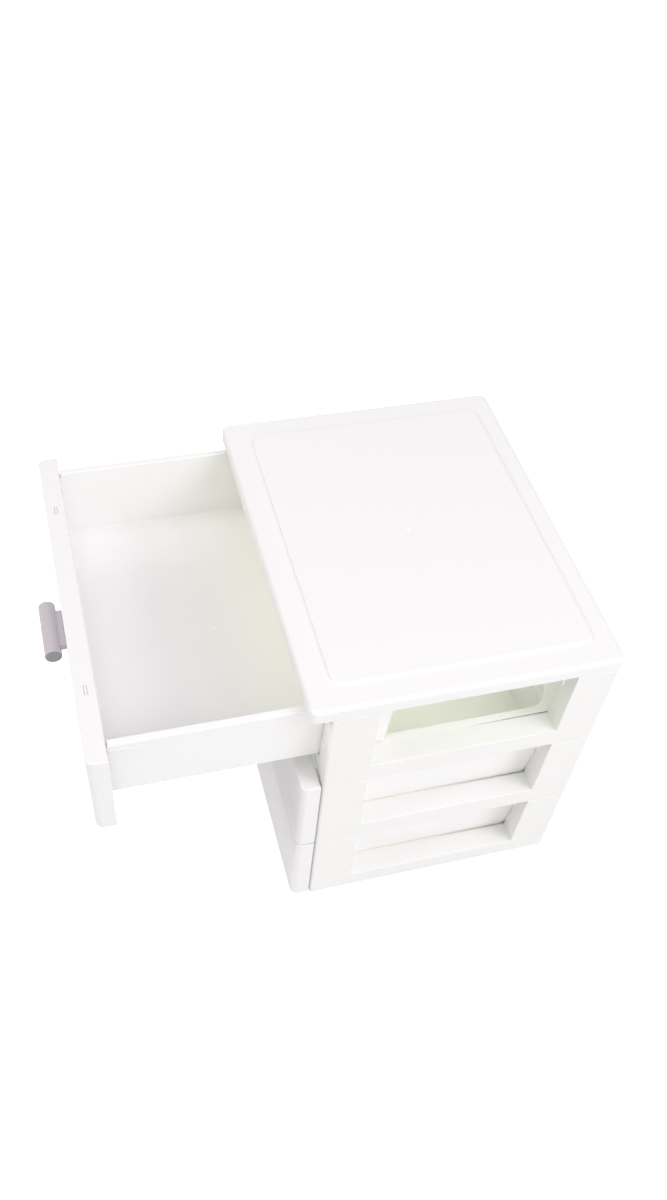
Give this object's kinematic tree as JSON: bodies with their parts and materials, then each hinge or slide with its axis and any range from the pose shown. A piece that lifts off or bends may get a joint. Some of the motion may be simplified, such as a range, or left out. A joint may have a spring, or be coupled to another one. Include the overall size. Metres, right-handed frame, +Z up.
{
  "type": "miniature chest of drawers",
  "caption": "Desktop miniature chest of drawers in white moulded plastic: stacked open-sided tiers, a raised lid and sliding drawers with round bar handles.",
  "frame": {"origin": "on the surface that the chest stands on, under the middle of the whole object with its top drawer drawn out", "axes": "+Z up, -Y the way the drawers open, +X to the right of someone who faces the drawers"},
  "size_m": [0.139, 0.1866, 0.1262],
  "materials": {
    "cover_white": "satin moulded white polystyrene with a faint cool pink cast",
    "frame_white": "satin moulded white polystyrene",
    "drawer_box_white": "polished moulded white polystyrene, glossy inside",
    "drawer_front_white": "satin moulded white polystyrene",
    "handle_grey": "satin moulded mauve-grey plastic"
  },
  "bodies": {
    "cabinet": {"top_cover": "cover_white", "tier_frame_bottom": "frame_white", "tier_frame_middle": "frame_white", "tier_frame_top": "frame_white"},
    "top_drawer": {"drawer_box_top": "drawer_box_white", "drawer_front_top": "drawer_front_white", "drawer_handle_top": "handle_grey"},
    "middle_drawer": {"drawer_box_middle": "drawer_box_white", "drawer_front_middle": "drawer_front_white", "drawer_handle_middle": "handle_grey"},
    "bottom_drawer": {"drawer_box_bottom": "drawer_box_white", "drawer_front_bottom": "drawer_front_white", "drawer_handle_bottom": "handle_grey"}
  },
  "joints": [
    {"name": "top_drawer_slide", "type": "slide", "parent": "cabinet", "child": "top_drawer", "axis": [0, -1, 0], "range_m": [-0.0698, 0.0102]},
    {"name": "middle_drawer_slide", "type": "slide", "parent": "cabinet", "child": "middle_drawer", "axis": [0, -1, 0], "range_m": [0, 0.08]},
    {"name": "bottom_drawer_slide", "type": "slide", "parent": "cabinet", "child": "bottom_drawer", "axis": [0, -1, 0], "range_m": [0, 0.08]}
  ]
}
